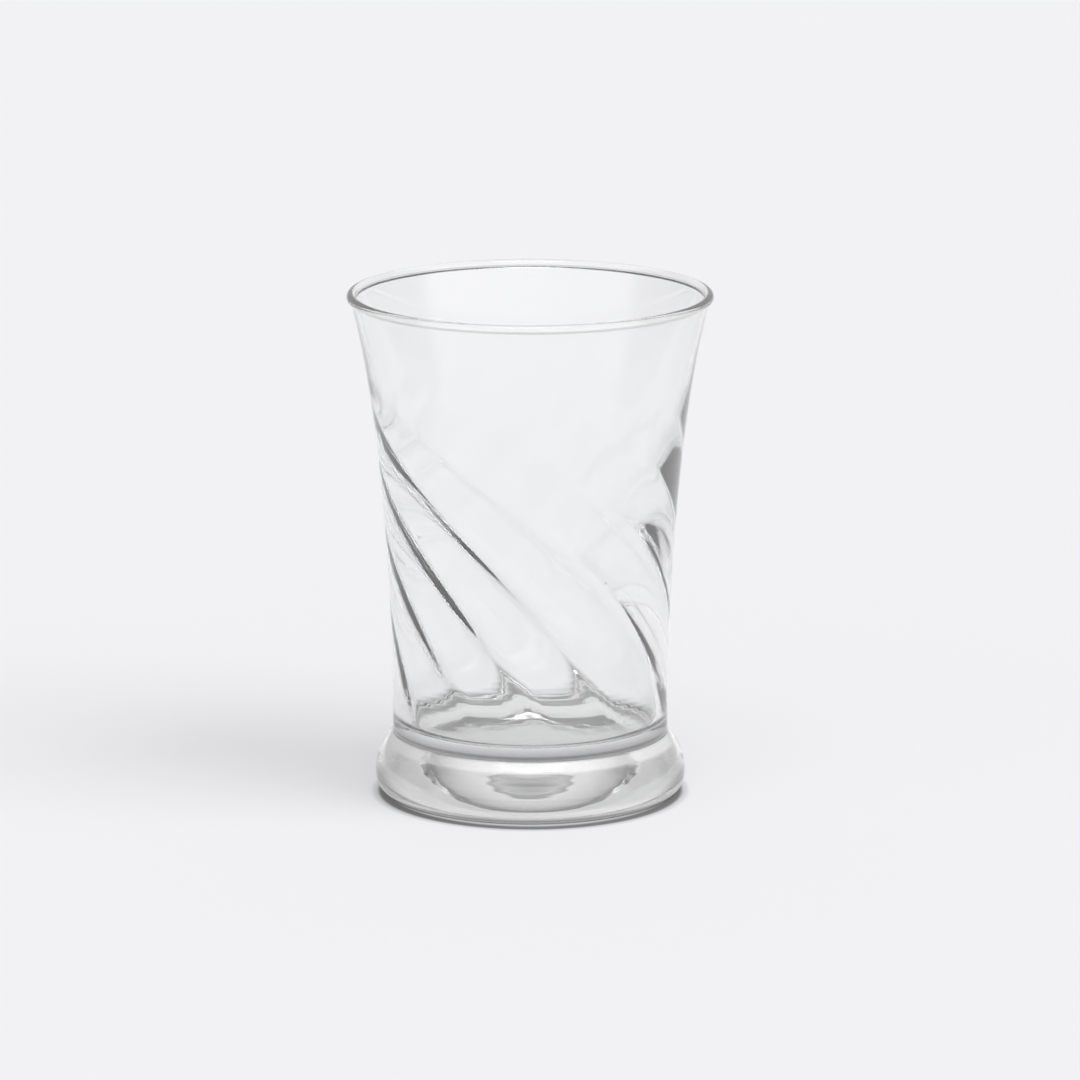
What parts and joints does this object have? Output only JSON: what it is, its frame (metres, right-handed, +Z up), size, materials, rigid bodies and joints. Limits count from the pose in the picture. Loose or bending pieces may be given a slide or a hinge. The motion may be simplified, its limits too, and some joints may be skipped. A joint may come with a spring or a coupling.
{
  "type": "tumbler",
  "caption": "Clear drinking tumbler with a flared mouth, swirled ribs inside the wall and a heavy round foot.",
  "frame": {"origin": "centre of the ring that the foot stands on, at table level", "axes": "+Z up along the axis of the glass, +Y away from the camera of the picture"},
  "size_m": [0.082, 0.082, 0.1144],
  "materials": {
    "bowl_glass": "clear, fire polished, faintly wavy",
    "foot_glass": "clear, fire polished, thick"
  },
  "bodies": {
    "root": {"bowl": "bowl_glass", "foot": "foot_glass"}
  },
  "joints": []
}
